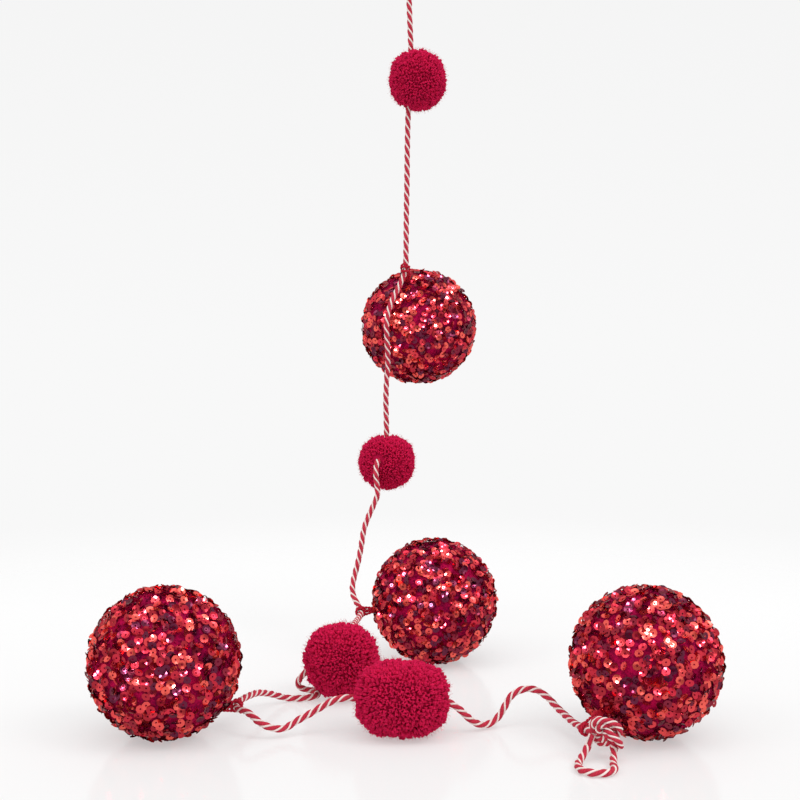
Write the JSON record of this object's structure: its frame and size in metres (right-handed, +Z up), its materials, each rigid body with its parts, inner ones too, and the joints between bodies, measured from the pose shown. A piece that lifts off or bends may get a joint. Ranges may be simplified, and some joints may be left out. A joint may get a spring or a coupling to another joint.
{
  "type": "pom-pom garland",
  "caption": "Hanging garland of wool pompoms and sequinned balls in turn on a red and white twisted cord with a loop at each end, its lower half lying on the surface below.",
  "frame": {"origin": "inside of the hanging loop's crown, where a hook bears", "axes": "+Z up, +X to the right and +Y away from the viewer of the picture; the surface that the lower half lies on is at z = -0.381 m"},
  "size_m": [0.2523, 0.2647, 0.3835],
  "materials": {
    "wool_yarn": "dense cut wool yarn, matt, crimson",
    "sequins": "small overlapping cupped sequins, translucent red with a metallic glint",
    "thread": "dark red sewing thread",
    "twisted_cord": "two plies of red yarn with a thin white yarn in the groove"
  },
  "bodies": {
    "root": {"pompom_1": "wool_yarn", "pompom_2": "wool_yarn", "pompom_3": "wool_yarn", "pompom_4": "wool_yarn", "ball_1": "sequins", "ball_1_thread": "thread", "ball_2": "sequins", "ball_2_thread": "thread", "ball_3": "sequins", "ball_3_thread": "thread", "ball_4": "sequins", "ball_4_thread": "thread", "top_loop": "twisted_cord", "top_knot": "twisted_cord", "cord_1": "twisted_cord", "cord_2": "twisted_cord", "cord_3": "twisted_cord", "cord_4": "twisted_cord", "cord_5": "twisted_cord", "end_knot": "twisted_cord", "end_loop": "twisted_cord"}
  },
  "joints": []
}
